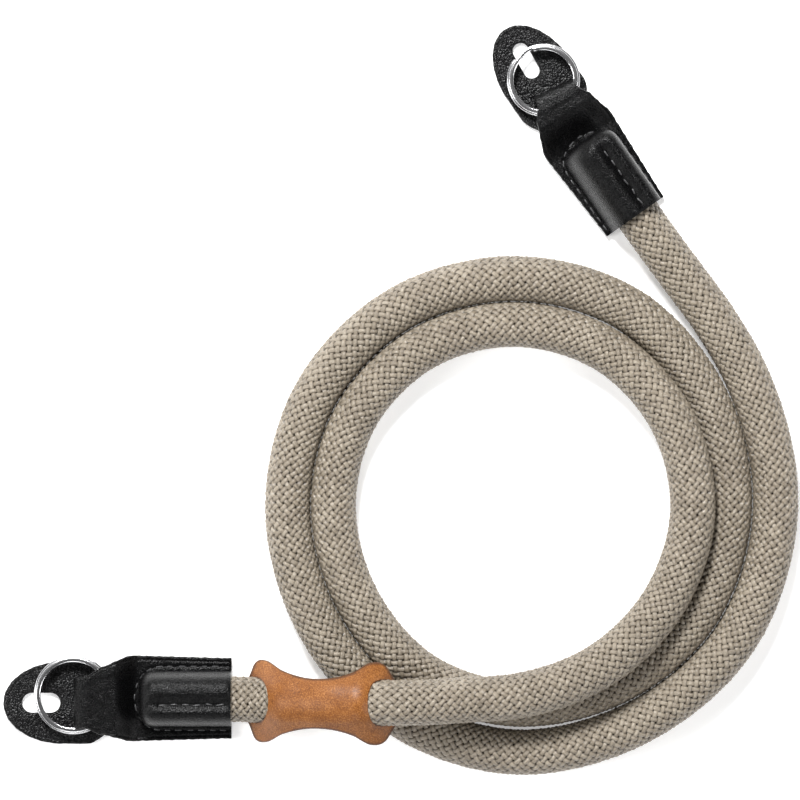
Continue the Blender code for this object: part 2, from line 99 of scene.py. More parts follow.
SLIDER_OUTLINE = (
    # share of the length, share of the ears' width
    (0.00, 0.40),
    (0.07, 0.43),
    (0.10, 0.60),
    (0.13, 0.92),
    (0.19, 1.00),
    (0.29, 0.77),
    (0.43, 0.61),
    (0.57, 0.61),
    (0.70, 0.75),
    (0.81, 1.00),
    (0.885, 0.93),
    (0.935, 0.60),
    (0.965, 0.41),
    (1.00, 0.40),
)
LEAD_IN = (
    (-0.0065, 0.0000, 0.0075),
    (0.0028, 0.0000, 0.0075),
    (0.0120, 0.0000, 0.0075),
    (0.0200, -0.0002, 0.0085),
    (0.0300, -0.0004, 0.0122),
    (0.0410, -0.0005, 0.0167),
    (0.0520, -0.0005, 0.0193),
    (0.0620, -0.0004, 0.0189),
    (0.0730, 0.0002, 0.0179),
)
COIL_CENTRE = (0.0855, 0.0484)
COIL_START = 270                # degrees
COIL_TURN = 30                  # degrees from one row to the next
COIL = (
    (0.0473, 0.0174),
    (0.0452, 0.0160),
    (0.0450, 0.0136),
    (0.0462, 0.0126),
    (0.0474, 0.0113),
    (0.0486, 0.0068),
    (0.0490, 0.0057),
    (0.0489, 0.0057),
    (0.0481, 0.0057),
    (0.0469, 0.0057),
    (0.0466, 0.0057),
    (0.0483, 0.0057),
    (0.0497, 0.0057),
    (0.0513, 0.0057),
    (0.0541, 0.0057),
    (0.0560, 0.0057),
    (0.0580, 0.0057),
    (0.0606, 0.0057),
    (0.0609, 0.0057),
    (0.0608, 0.0057),
    (0.0600, 0.0057),
    (0.0588, 0.0057),
    (0.0585, 0.0057),
    (0.0602, 0.0057),
    (0.0622, 0.0057),
    (0.0633, 0.0057),
    (0.0661, 0.0057),
    (0.0680, 0.0057),
    (0.0701, 0.0057),
)
LEAD_OUT = (
    (0.1372, 0.0992, 0.0057),
    (0.1300, 0.1090, 0.0057),
    (0.1227, 0.1188, 0.0066),
)
ENDS = {
    "end_a": {
        "mouth": (POCKET_SEAT, 0.0000),
        "turn": 180,            # the way it points away from the rope
        "length": 0.0410,       # from the mouth to the fold
        "mouth_width": 0.0209,
        "flange_width": 0.0224,
        "neck_width": 0.0178,
        "loop_width": 0.0131,
        "edge_shift": 0.0,
        "loop_shift": 0.0011,
        "loop_turn": 0,
        "lean": 0.0,            # how far the pocket leans across, for each unit of height
        "seam_shift": 0.0012,   # from the rope's middle to the groove
        "ring_diameter": 0.0206,
        "ring_centre": 0.0411,  # from the mouth
        "ring_shift": -0.0010,
        "ring_start": 205,      # where its wire starts, in degrees
        "pad_width": 0.0214,
        "pad_shift": 0.0012,
        "slot_width": 0.0051,
        "slot_turn": 0,
        "body": "ring_a",
    },
    "end_b": {
        "mouth": (0.1168, 0.1252),
        "turn": 125,
        "length": 0.0398,
        "mouth_width": 0.0180,
        "flange_width": 0.0209,
        "neck_width": 0.0162,
        "loop_width": 0.0113,
        "edge_shift": -0.0005,
        "loop_shift": -0.0019,
        "loop_turn": -9,
        "lean": -0.2,
        "seam_shift": -0.0009,
        "ring_diameter": 0.0190,
        "ring_centre": 0.0428,
        "ring_shift": -0.0012,
        "ring_start": 20,
        "pad_width": 0.0196,
        "pad_shift": -0.0005,
        "slot_width": 0.0041,
        "slot_turn": -6,
        "body": "ring_b",
    },
}

# Photograph's frame
VIEW_CENTRE = (0.0559, 0.0777)
VIEW_WIDTH = 0.208
CAMERA_HEIGHT = 2.0
SENSOR_WIDTH = 36               # millimetres

# Studio: each light's place, its width and its power in watts
LIGHTS = {
    "key": ((-0.15, 0.88, 1.00), 0.36, 31.0),
    "left_fill": ((-1.00, -0.10, 0.75), 0.60, 9.0),
    "right_fill": ((1.05, -0.30, 0.75), 0.60, 7.0),
    "front_fill": ((-0.10, -1.00, 0.75), 0.60, 4.5),
}
SKY_STRENGTH = 0.10
FLOOR_GLOW = 0.38
FLOOR_HALF = 4.0

# Braid, measured over its crests
BRAID_RADIUS = 0.00603
YARN_PITCH = 0.00221            # along the rope
YARN_COLUMNS = 32               # round the rope
YARN_HALF_LENGTH = 0.00138
YARN_HALF_WIDTH = 0.00068
YARN_THICKNESS = 0.00056
YARN_WAVE = 0.00040             # rise of a yarn over its crossings
YARN_SLANT = 46.5               # degrees from the rope's direction
YARN_HIDDEN = 0.0035            # how far the braid goes on inside each pocket
YARN_STATIONS = (-1.0, -0.80, -0.50, 0.0, 0.50, 0.80, 1.0)
YARN_PROFILE = (-1.0, -0.74, 0.0, 0.74, 1.0)
STRETCHES = 6                   # the braid's pieces
CORE_RADIUS = 0.00524
CORE_SIDES = 20
CORE_STEP = 0.0025
LINE_STEP = 0.0008              # between the points of the rope's centre line
PATH_STEP = 0.004               # between the points of the cord's path
WAY_WINDOW = 9                  # points over which the line's directions are evened out
FLOOR_GAP = 0.00003             # between the braid and the floor

# Leather details that the solids leave out
BEVEL = 0.3                     # share of a rounded corner left at its middle
COVER_CORNER = 0.00035
COVER_FIRST = 0.0007            # where the covers' even sections start
COVER_STEP = 0.00042
MOUTH_STEP = 0.00018
MOUTH_ROUND = 0.00025           # how far the mouth's rim is rounded down
MOUTH_ROUND_LENGTH = 0.0004
FOLD_TURNS = (0, 12, 24, 36, 48, 60, 70, 78, 85)    # degrees round the fold
LAYER_LINE_DEPTH = 0.00012      # the line between an edge's two layers
LAYER_LINE_HALF = 0.00008
UNDER_INSET = 0.003             # from the edge to the underside's last point
LEAN_START = 0.0004             # above the flange, where the pocket starts to lean
FLANGE_BLEND = 0.001            # from the pocket's foot to where the edge's shift is full
FLANGE_LEAST = 0.0016           # kept beside the pocket
EDGE_WAVE = 0.00005
FINE_EDGE_WAVE = 0.00004
SLOW_WAVE = 0.00005             # unevenness of the leather's top
FINE_WAVE = 0.00002
CREASE_DEPTH = 0.00016          # pressed in beside the edge
CREASE_WIDTH = 0.00020
CREASE_GAPS = (0.0005, 0.00105)     # from the edge, least and most
CREASE_END = 0.0075             # from the fold, where the crease fades
CREASE_FADE = 0.005
SEAM_CUT_DEPTH = 0.00035        # the sharp fold at the bottom of the groove
SEAM_CUT_WIDTH = 0.00030
SEAM_CUT_START = 0.001          # from the mouth
SEAM_CUT_FADE = 0.002
STITCH_DENT_DEPTH = 0.00020     # the leather pulled down under the stitches
STITCH_DENT_WIDTH = 0.00035
FOLD_RELIEF = 0.00010           # a ridge and a hollow before the fold
FOLD_RIDGE = (0.0040, 0.0007)   # from the fold, and its width
FOLD_HOLLOW = (0.0019, 0.0005)
STITCH_GAP = 0.0011             # from the pocket's foot to its stitches
STITCH_START = 0.0009           # from the mouth to the first stitch
STITCH_PITCH = 0.00286
STITCH_LENGTH = 0.0017
STITCH_UNEVEN = 0.00022         # how much the stitches' places and lengths differ
STITCH_LIFT = 0.00004
THREAD_RADIUS = 0.00018
SEAM_STITCHES = 6
SEAM_STITCH_START = 0.0018
SEAM_STITCH_PITCH = 0.00300
SEAM_STITCH_LIFT = 0.00012
HOLE_PAST = 0.002               # how far the rope's hole goes on past the rope
HOLE_START = 0.0003
RING_SPREAD = 0.00045           # how much wider the lower turn is
RING_CROWN = 0.75               # 1 is a round wire, less is a squarer one
RING_POINTS = 120               # in one turn
RING_SIDES = 16
PAD_COLUMNS = 176
PAD_CORNER = 0.00040
PAD_CREASE = (0.0006, 0.00075, 0.0009, 0.0013)      # from the rounding, the second is its middle
PAD_CREASE_DEPTH = 0.00008
PAD_RIM_WAVE = 0.00004
FINE_PAD_RIM_WAVE = 0.00003
SLIDER_HUG = 0.00005            # how much tighter than the solid's its hole is
SLIDER_ROUND = 0.00045          # length over which it thins to its rim
SLIDER_RIM = 0.35               # share of its thickness left there
SLIDER_HOLE_PAST = 0.012        # how far its hole goes on past its length
SLIDER_CROWDING = 0.18          # how much its rows crowd towards the rim
EDGE_DARKNESS = 0.75
# Near the rope's hole the dark edge mark is also painted shade.
HOLE_MARK = 0.00012             # how near the rope's hole counts as a cut edge
RIM_MARK = 0.00028
SLIDER_COLUMNS = 150
SLIDER_ROWS = 44
CUTTER_STEP = 0.001
CUTTER_SIDES = 48
EDGE_STEPS = (0.0, 0.06, 0.12, 0.20, 0.28, 0.36, 0.44, 0.52, 0.60, 0.68, 0.76, 0.85, 0.93)
FOOT_SHARES = (1.07, 1.0, 0.985, 0.965, 0.94, 0.91, 0.87, 0.82, 0.77, 0.71, 0.65, 0.59, 0.53, 0.47)
SEAM_STEPS = (0.0030, 0.0024, 0.0018, 0.0013, 0.0009, 0.0006, 0.00040, 0.00025, 0.00012)
STITCH_RINGS = (
    # share of a stitch's length, share of the thread's radius, rise in radii
    (-0.02, 0.35, -1.0),
    (0.08, 0.85, -0.35),
    (0.25, 1.0, 0.0),
    (0.5, 1.05, 0.12),
    (0.75, 1.0, 0.0),
    (0.92, 0.85, -0.35),
    (1.02, 0.35, -1.0),
)


def smooth_route(points, step):
    """Points on the smooth curve through the given ones, no further apart than the step."""
    chords = [b - a for a, b in zip(points, points[1:])]
    lengths = [chord.length for chord in chords]
    ways = [chord / length for chord, length in zip(chords, lengths)]
    heading = [ways[0]]
    for i in range(1, len(ways)):
        before, after = lengths[i - 1], lengths[i]
        heading.append((ways[i - 1] * after + ways[i] * before) / (before + after))
    heading.append(ways[-1])
    route = []
    for i, length in enumerate(lengths):
        count = max(1, round(length / step))
        for k in range(count):
            t = k / count
            point = (
                points[i] * (2 * t**3 - 3 * t**2 + 1)
                + heading[i] * length * (t**3 - 2 * t**2 + t)
                + points[i + 1] * (3 * t**2 - 2 * t**3)
                + heading[i + 1] * length * (t**3 - t**2)
            )
            point.z = max(point.z, ROPE_RADIUS)
            route.append(point)
    route.append(points[-1])
    return route


def end_frame(end):
    """Where an end's own frame lies: its mouth, and +X towards the ring."""
    place = Matrix.Translation((*end["mouth"], 0))
    return place @ Matrix.Rotation(radians(end["turn"]), 4, "Z")


def leaned(end, across, height):
    """Where a point over the flange moves as the pocket leans."""
    return across + end["lean"] * max(0, height - 2 * COVER_LEATHER)


def rope_route(step):
    """The rope's centre line, as the solid has it."""
    points = [Vector(row) for row in LEAD_IN]
    for i, (radius, height) in enumerate(COIL):
        turn = radians(COIL_START + COIL_TURN * i)
        x = COIL_CENTRE[0] + radius * cos(turn)
        y = COIL_CENTRE[1] + radius * sin(turn)
        points.append(Vector((x, y, height)))
    points += [Vector(row) for row in LEAD_OUT]
    place = end_frame(ENDS["end_b"])
    across = leaned(ENDS["end_b"], 0, ROPE_SEAT)
    for depth in (0, ROPE_IN_POCKET / 2, ROPE_IN_POCKET):
        points.append(place @ Vector((depth, across, ROPE_SEAT)))
    return smooth_route(points, step)


class RopeLine:
    """The rope's centre line as arrays: places and directions at lengths along it."""

    def __init__(self):
        self.points = np.array([tuple(point) for point in rope_route(LINE_STEP)])
        gaps = np.linalg.norm(np.diff(self.points, axis=0), axis=1)
        self.arc = np.concatenate(([0.0], np.cumsum(gaps)))
        self.length = float(self.arc[-1])
        ways = np.gradient(self.points, self.arc, axis=0)
        window = np.hanning(WAY_WINDOW) / np.hanning(WAY_WINDOW).sum()
        padded = np.pad(ways, ((WAY_WINDOW // 2, WAY_WINDOW // 2), (0, 0)), mode="edge")
        self.ways = np.stack([np.convolve(padded[:, i], window, "valid") for i in range(3)], -1)

    def at(self, s, rows):
        return np.stack([np.interp(s, self.arc, rows[:, i]) for i in range(3)], -1)

    def around(self, s, theta, radius):
        """Points at lengths s, angles theta from the top towards the left, and radii."""
        middle = self.at(s, self.points)
        way = self.at(s, self.ways)
        way /= np.linalg.norm(way, axis=-1, keepdims=True)
        side = np.cross(UP, way)
        side /= np.linalg.norm(side, axis=-1, keepdims=True)
        top = np.cross(way, side)
        radius = np.asarray(radius)[..., None]
        return middle + radius * (np.cos(theta)[..., None] * top + np.sin(theta)[..., None] * side)

    def surface(self, s, theta, radius):
        """The same points, kept above the floor."""
        place = self.around(s, theta, radius)
        place[..., 2] = np.maximum(place[..., 2], FLOOR_GAP)
        return place


def new_piece(name, points, faces, material, body, replaced=()):
    """A smooth mesh piece, riding on a body."""
    mesh = bpy.data.meshes.new(name)
    mesh.from_pydata(points, [], faces)
    mesh.update()
    return finish_piece(name, mesh, material, body, replaced)


def finish_piece(name, mesh, material, body, replaced=(), angle=40):
    """Makes a mesh a piece, with edges over the angle kept sharp."""
    piece = bpy.data.objects.new(name, mesh)
    bpy.context.scene.collection.objects.link(piece)
    mesh.materials.clear()
    mesh.materials.append(material)
    mesh.shade_smooth()
    if angle:
        mesh.set_sharp_from_angle(angle=radians(angle))
    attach(piece, body)
    if replaced:
        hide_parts(*replaced)
    return piece


class Nodes:
    """Builds a material's nodes."""

    def __init__(self, name):
        self.material = bpy.data.materials.new(name)
        self.material.use_nodes = True
        self.tree = self.material.node_tree
        self.shader = self.tree.nodes["Principled BSDF"]

    def add(self, kind, inputs=None, **settings):
        node = self.tree.nodes.new("ShaderNode" + kind)
        for key, value in settings.items():
            setattr(node, key, value)
        for key, value in (inputs or {}).items():
            self.put(node.inputs[key], value)
        return node

    def put(self, socket, value):
        if isinstance(value, bpy.types.NodeSocket):
            self.tree.links.new(value, socket)
        else:
            socket.default_value = value

    def set(self, **values):
        for key, value in values.items():
            self.put(self.shader.inputs[key.replace("_", " ")], value)

    def maths(self, operation, a, b=0.0, c=0.0):
        node = self.add("Math", {0: a, 1: b, 2: c}, operation=operation)
        return node.outputs[0]

    def noise(self, vector, scale, detail=3.0, roughness=0.55):
        values = {"Vector": vector, "Scale": scale, "Detail": detail, "Roughness": roughness}
        return self.add("TexNoise", values).outputs["Fac"]

    def scaled(self, vector, scale):
        return self.add("Mapping", {"Vector": vector, "Scale": scale}).outputs["Vector"]

    def ramp(self, value, *stops):
        node = self.add("ValToRGB", {"Fac": value})
        band = node.color_ramp
        while len(band.elements) < len(stops):
            band.elements.new(0.5)
        for element, (place, colour) in zip(band.elements, stops):
            element.position = place
            element.color = (*colour, 1)
        return node.outputs["Color"]

    def mix(self, factor, a, b):
        node = self.add("Mix", data_type="RGBA")
        self.put(node.inputs[0], factor)
        self.put(node.inputs[6], a)
        self.put(node.inputs[7], b)
        return node.outputs[2]

    def bump(self, height, distance, strength=1.0, normal=None):
        node = self.add("Bump", {"Height": height, "Distance": distance, "Strength": strength})
        if normal is not None:
            self.put(node.inputs["Normal"], normal)
        return node.outputs["Normal"]


def yarn_material():
    """Shiny taupe yarn: fine fibres run along each yarn, and yarns differ a little; each float has
    painted shade along its sides and ends.
    """
    make = Nodes("yarn")
    coords = make.add("UVMap", uv_map="yarn").outputs["UV"]
    place = make.add("TexCoord").outputs["Object"]
    fibres = make.noise(make.scaled(coords, (1.4, 11.0, 1.0)), 1.0, 4.0, 0.65)
    cell = make.add("VectorMath", {0: coords}, operation="FLOOR").outputs[0]
    own = make.add("TexWhiteNoise", {"Vector": cell}, noise_dimensions="2D").outputs["Value"]
    patches = make.noise(place, 70.0, 2.0)
    tone = make.maths("MULTIPLY_ADD", own, 0.14, make.maths("MULTIPLY", fibres, 0.78))
    tone = make.maths("MULTIPLY_ADD", patches, 0.18, tone)
    colour = make.ramp(
        tone,
        (0.28, (0.092, 0.073, 0.051)),
        (0.52, (0.212, 0.176, 0.130)),
        (0.80, (0.370, 0.320, 0.250)),
    )
    # Painted shade: each float darkens towards its sides and ends, where it dips under its
    # neighbours, drawing dark lines between the floats.
    inside = make.add("VectorMath", {0: coords}, operation="FRACTION").outputs[0]
    parts = make.add("SeparateXYZ", {0: inside})
    painted_shades = []
    for axis, start, stop in (("X", 0.34, 0.44), ("Y", 0.27, 0.43)):
        away = make.maths("ABSOLUTE", make.maths("SUBTRACT", parts.outputs[axis], 0.5))
        limits = {"Value": away, "From Min": start, "From Max": stop}
        painted_shades.append(make.add("MapRange", limits, interpolation_type="SMOOTHSTEP").outputs[0])
    edge = make.maths("MAXIMUM", painted_shades[0], painted_shades[1])
    # Mixes the painted shade at the float's sides and ends towards near black.
    colour = make.mix(make.maths("MULTIPLY", edge, 0.72), colour, (0.020, 0.015, 0.010, 1))
    make.set(Base_Color=colour, Roughness=0.34, Specular_IOR_Level=0.75)
    make.set(Normal=make.bump(fibres, 0.00022, 1.0))
    return make.material


def core_material():
    """The braid's inside, seen in the gaps between the yarns: strands coloured near black as painted
    shade for the gaps.
    """
    make = Nodes("rope_core")
    place = make.add("TexCoord").outputs["Object"]
    strands = make.noise(place, 1400.0, 3.0)
    # Painted shade: the strands are near black, for the shade deep in the gaps between the yarns.
    colour = make.ramp(strands, (0.3, (0.012, 0.009, 0.006)), (0.7, (0.040, 0.031, 0.021)))
    make.set(Base_Color=colour, Roughness=0.85, Specular_IOR_Level=0.2)
    make.set(Normal=make.bump(strands, 0.0002))
    return make.material


def black_leather_material():
    """Smooth black leather with fine grain, greyer where it has rubbed."""
    make = Nodes("black_leather")
    place = make.add("TexCoord").outputs["Object"]
    pores = make.noise(place, 2700.0, 2.0, 0.5)
    folds = make.noise(place, 420.0, 3.0, 0.6)
    wear = make.noise(place, 150.0, 3.0)
    colour = make.ramp(
        make.maths("MULTIPLY_ADD", pores, 0.5, make.maths("MULTIPLY", wear, 0.5)),
        (0.35, (0.0010, 0.0010, 0.0011)),
        (0.65, (0.0032, 0.0032, 0.0034)),
    )
    shine = {"Value": pores, "From Min": 0.35, "From Max": 0.65, "To Min": 0.20, "To Max": 0.40}
    rough = make.add("MapRange", shine).outputs[0]
    make.set(Base_Color=colour, Roughness=rough, Specular_IOR_Level=0.14)
    grain = make.bump(folds, 0.00006, 0.8)
    make.set(Normal=make.bump(pores, 0.00018, 1.0, grain))
    return make.material


def pad_leather_material():
    """Pebbled black leather: small grains that catch the light one by one."""
    make = Nodes("pad_leather")
    place = make.add("TexCoord").outputs["Object"]
    warped = make.add("VectorMath", {0: place}, operation="MULTIPLY_ADD")
    jitter = make.add("TexNoise", {"Vector": place, "Scale": 900.0}).outputs["Color"]
    make.put(warped.inputs[0], jitter)
    warped.inputs[1].default_value = (0.0006, 0.0006, 0.0006)
    make.put(warped.inputs[2], place)
    pebbles = make.add(
        "TexVoronoi", {"Vector": warped.outputs[0], "Scale": 2000.0}, feature="F1"
    ).outputs["Distance"]
    fine = make.noise(place, 3200.0, 2.0)
    height = make.maths("MULTIPLY_ADD", fine, 0.35, make.maths("SUBTRACT", 1.0, pebbles))
    colour = make.ramp(fine, (0.35, (0.0015, 0.0015, 0.0016)), (0.70, (0.0060, 0.0060, 0.0063)))
    make.set(Base_Color=colour, Roughness=0.27, Specular_IOR_Level=0.17)
    make.set(Normal=make.bump(height, 0.00018, 1.0))
    return make.material


def thread_material():
    """Dark waxed thread with a fine twist."""
    make = Nodes("black_thread")
    place = make.add("TexCoord").outputs["Object"]
    ply = make.noise(place, 5200.0, 2.0)
    colour = make.ramp(ply, (0.3, (0.020, 0.020, 0.020)), (0.7, (0.095, 0.095, 0.098)))
    make.set(Base_Color=colour, Roughness=0.30)
    make.set(Normal=make.bump(ply, 0.00004))
    return make.material


def tan_leather_material():
    """Vegetable-tanned leather: fine pores, mottled tan, darker burnished cut edges, which round the
    rope's holes are also painted shade.
    """
    make = Nodes("tan_leather")
    place = make.add("TexCoord").outputs["Object"]
    pores = make.noise(place, 2900.0, 2.0, 0.5)
    mottle = make.noise(place, 260.0, 4.0, 0.6)
    broad = make.noise(place, 45.0, 2.0)
    tone = make.maths("MULTIPLY_ADD", pores, 0.66, make.maths("MULTIPLY", mottle, 0.26))
    tone = make.maths("MULTIPLY_ADD", broad, 0.12, tone)
    colour = make.ramp(
        tone,
        (0.34, (0.090, 0.026, 0.003)),
        (0.52, (0.195, 0.064, 0.010)),
        (0.70, (0.335, 0.140, 0.036)),
    )
    # The edge mark: burnished cut edges, and round the rope's holes also painted shade for the dark
    # gap where the rope goes under the leather.
    edge = make.add("Attribute", attribute_name="edge").outputs["Fac"]
    colour = make.mix(edge, colour, (0.050, 0.019, 0.008, 1))
    make.set(Base_Color=colour, Roughness=0.45, Specular_IOR_Level=0.35)
    grain = make.bump(mottle, 0.00012, 0.6)
    make.set(Normal=make.bump(pores, 0.00007, 1.0, grain))
    return make.material


def steel_material():
    """Bright spring wire, with fine drawn lines along it."""
    make = Nodes("ring_steel")
    coords = make.add("UVMap", uv_map="wire").outputs["UV"]
    lines = make.noise(make.scaled(coords, (2.0, 60.0, 1.0)), 1.0, 3.0, 0.6)
    colour = make.ramp(lines, (0.3, (0.32, 0.32, 0.33)), (0.7, (0.74, 0.74, 0.75)))
    rough = make.add("MapRange", {"Value": lines, "To Min": 0.14, "To Max": 0.32}).outputs[0]
    make.set(Base_Color=colour, Metallic=1.0, Roughness=rough)
    make.set(Normal=make.bump(lines, 0.00003, 0.6))
    return make.material


def floor_material():
    """Plain white that glows a little, so that it is as white as the photograph's."""
    make = Nodes("white_floor")
    place = make.add("TexCoord").outputs["Object"]
    tone = make.noise(place, 3.0, 2.0)
    colour = make.ramp(tone, (0.3, (0.93, 0.93, 0.93)), (0.7, (0.95, 0.95, 0.95)))
    make.set(Base_Color=colour, Roughness=0.9, Specular_IOR_Level=0.1)
    make.set(Emission_Color=(1.0, 1.0, 1.0, 1.0), Emission_Strength=FLOOR_GLOW)
    return make.material


def make_camera():
    """A far camera that looks straight down on the rope's height."""
    camera = bpy.data.cameras.new("camera")
    camera.sensor_width = SENSOR_WIDTH
    camera.lens = SENSOR_WIDTH * (CAMERA_HEIGHT - ROPE_RADIUS) / VIEW_WIDTH
    camera.clip_start = 0.05
    thing = bpy.data.objects.new("camera", camera)
    thing.location = (*VIEW_CENTRE, CAMERA_HEIGHT)
    bpy.context.scene.collection.objects.link(thing)
    bpy.context.scene.camera = thing


def make_light(name, place, size, power):
    """A round area light, aimed at the middle of the view."""
    light = bpy.data.lights.new(name, "AREA")
    light.shape = "DISK"
    light.size = size
    light.energy = power
    thing = bpy.data.objects.new(name, light)
    thing.location = place
    way = Vector((*VIEW_CENTRE, 0)) - Vector(place)
    thing.rotation_euler = way.to_track_quat("-Z", "Y").to_euler()
    bpy.context.scene.collection.objects.link(thing)


def make_stage():
    """A white floor that glows a little, and soft lights, the strongest beyond the top edge."""
    half = FLOOR_HALF
    corners = [(-half, -half, 0), (half, -half, 0), (half, half, 0), (-half, half, 0)]
    mesh = bpy.data.meshes.new("floor")
    mesh.from_pydata(corners, [], [(0, 1, 2, 3)])
    mesh.materials.append(floor_material())
    floor = bpy.data.objects.new("floor", mesh)
    bpy.context.scene.collection.objects.link(floor)
    world = bpy.data.worlds.new("surround")
    bpy.context.scene.world = world
    world.use_nodes = True
    sky = world.node_tree.nodes["Background"]
    sky.inputs["Color"].default_value = (1, 1, 1, 1)
    sky.inputs["Strength"].default_value = SKY_STRENGTH
    for name, (place, size, power) in LIGHTS.items():
        make_light(name, place, size, power)
    bpy.context.scene.view_settings.view_transform = "Standard"


def grid_faces(rows, columns, wrap=False, closed=False):
    """Faces of a grid of points, row after row. Wrap joins its columns, closed its rows."""
    faces = []
    for i in range(rows if closed else rows - 1):
        a, b = i * columns, (i + 1) % rows * columns
        for j in range(columns if wrap else columns - 1):
            k = (j + 1) % columns
            faces.append((a + j, a + k, b + k, b + j))
    return faces


def tube_faces(rows, columns):
    """Faces of a tube of points, with a cap at each end."""
    last = (rows - 1) * columns
    caps = [tuple(range(columns)), tuple(range(last + columns - 1, last - 1, -1))]
    return grid_faces(rows, columns, wrap=True) + caps


def make_core(line, material):
    """The inside of the braid, on the rope's centre line, whose near-black colour is painted shade
    for the gaps.
    """
    s = np.linspace(0, line.length, int(line.length / CORE_STEP))
    turn = np.linspace(0, 2 * pi, CORE_SIDES, endpoint=False)
    ss, tt = np.meshgrid(s, turn, indexing="ij")
    points = line.surface(ss, tt, CORE_RADIUS).reshape(-1, 3).tolist()
    faces = tube_faces(len(s), CORE_SIDES)
    return new_piece("rope_core", points, faces, material, "strap", ("rope",))


def braid_points(line, start, row, column):
    """Points of the yarns' floats in these rows and columns, each a little different."""
    u, v = np.meshgrid(YARN_STATIONS, YARN_PROFILE, indexing="ij")
    crest = BRAID_RADIUS - YARN_WAVE - YARN_THICKNESS
    lift = YARN_WAVE * (1 - 2 * np.abs(u) ** 2.6)
    bulge = YARN_THICKNESS * np.sqrt(np.maximum(0, 1 - v**2))
    count = len(row)
    s0 = start + (row + 0.5 * (column % 2)) * YARN_PITCH + DICE.normal(0, 0.00004, count)
    t0 = 2 * pi * column / YARN_COLUMNS + DICE.normal(0, 0.010, count)
    lean = radians(YARN_SLANT) + DICE.normal(0, radians(3.0), count)
    lean *= np.where(column % 2, -1, 1)
    width = YARN_HALF_WIDTH * DICE.normal(1, 0.05, count)
    height = DICE.normal(0, 0.00003, count)
    a = (u * YARN_HALF_LENGTH)[None]
    b = v[None] * width[:, None, None]
    c, d = np.cos(lean)[:, None, None], np.sin(lean)[:, None, None]
    s = s0[:, None, None] + c * a - d * b
    t = t0[:, None, None] + (d * a + c * b) / (BRAID_RADIUS - YARN_THICKNESS / 2)
    r = crest + lift[None] + bulge[None] + height[:, None, None]
    return line.surface(s, t, r).reshape(-1, 3)


def braid_uvs(count, faces):
    """A patch of the plane for each float, so that its tone and fibres are its own and the painted
    shade lies along its sides and ends.
    """
    u, v = np.meshgrid(YARN_STATIONS, YARN_PROFILE, indexing="ij")
    own = DICE.randint(0, 900, (count, 2))
    flat = np.stack((u / 2.2 + 0.5, v / 2.2 + 0.5), -1)[None] + own[:, None, None, :]
    return flat.reshape(-1, 2)[faces.ravel()]


def make_braid(line, material):
    """Every visible float of every yarn, as a small pillow that dips under its neighbours."""
    start, stop = ROPE_IN_POCKET - YARN_HIDDEN, line.length - ROPE_IN_POCKET + YARN_HIDDEN
    rows = int((stop - start) / YARN_PITCH)
    size = len(YARN_STATIONS) * len(YARN_PROFILE)
    cell = np.array(grid_faces(len(YARN_STATIONS), len(YARN_PROFILE)))
    bounds = np.linspace(0, rows, STRETCHES + 1).astype(int)
    pieces = []
    for number, (low, high) in enumerate(zip(bounds, bounds[1:])):
        row, column = np.meshgrid(np.arange(low, high), np.arange(YARN_COLUMNS), indexing="ij")
        row, column = row.ravel(), column.ravel()
        points = braid_points(line, start, row, column)
        faces = (cell[None] + (np.arange(len(row)) * size)[:, None, None]).reshape(-1, 4)
        mesh = bpy.data.meshes.new("braid")
        mesh.from_pydata(points.tolist(), [], faces.tolist())
        layer = mesh.uv_layers.new(name="yarn")
        layer.data.foreach_set("uv", braid_uvs(len(row), faces).astype(np.float32).ravel())
        mesh.update()
        name = "rope_braid_" + str(number + 1)
        pieces.append(finish_piece(name, mesh, material, "strap", angle=0))
    return pieces


def eased(share):
    """0 up to a share of 0 and 1 from a share of 1, smooth between them."""
    share = min(1, max(0, share))
    return share * share * (3 - 2 * share)


def hump(distance, width):
    """1 at no distance, falling smoothly to almost 0 at twice the width."""
    return exp(-((distance / width) ** 2))


def smooth_value(rows, share):
    """The value at a share, on the smooth curve through rows of shares and values."""
    slopes = [(b[1] - a[1]) / (b[0] - a[0]) for a, b in zip(rows, rows[1:])]
    slopes = [slopes[0]] + slopes + [slopes[-1]]
    for i in range(len(rows) - 1):
        (start, low), (stop, high) = rows[i], rows[i + 1]
        if share > stop and i < len(rows) - 2:
            continue
        span = stop - start
        t = min(1, max(0, (share - start) / span))
        out, into = (slopes[i] + slopes[i + 1]) / 2, (slopes[i + 1] + slopes[i + 2]) / 2
        curve = low * (2 * t**3 - 3 * t**2 + 1) + high * (3 * t**2 - 2 * t**3)
        return curve + span * (out * (t**3 - 2 * t**2 + t) + into * (t**3 - t**2))


def cover_half_width(end, along):
    """Half the cover's width, so far from its mouth."""
    mouth, flange = end["mouth_width"] / 2, end["flange_width"] / 2
    neck, loop = end["neck_width"] / 2, end["loop_width"] / 2
    if along <= FLANGE_LENGTH:
        return mouth + (flange - mouth) * along / FLANGE_LENGTH
    if along <= FLANGE_LENGTH + CHAMFER_LENGTH:
        return flange + (neck - flange) * (along - FLANGE_LENGTH) / CHAMFER_LENGTH
    neck_start = FLANGE_LENGTH + CHAMFER_LENGTH
    taper = NECK_TAPER * (end["length"] - neck_start)
    return neck + (loop - neck) * eased((along - neck_start) / taper)


def pocket_fill(along, across):
    """1 in the middle of the moulded pocket, 0 at its foot, less outside."""
    past = max(0, along - ROPE_IN_POCKET) / (POCKET_LENGTH - ROPE_IN_POCKET)
    return 1 - (abs(across) / POCKET_HALF) ** POCKET_SQUARENESS - past**POCKET_SQUARENESS


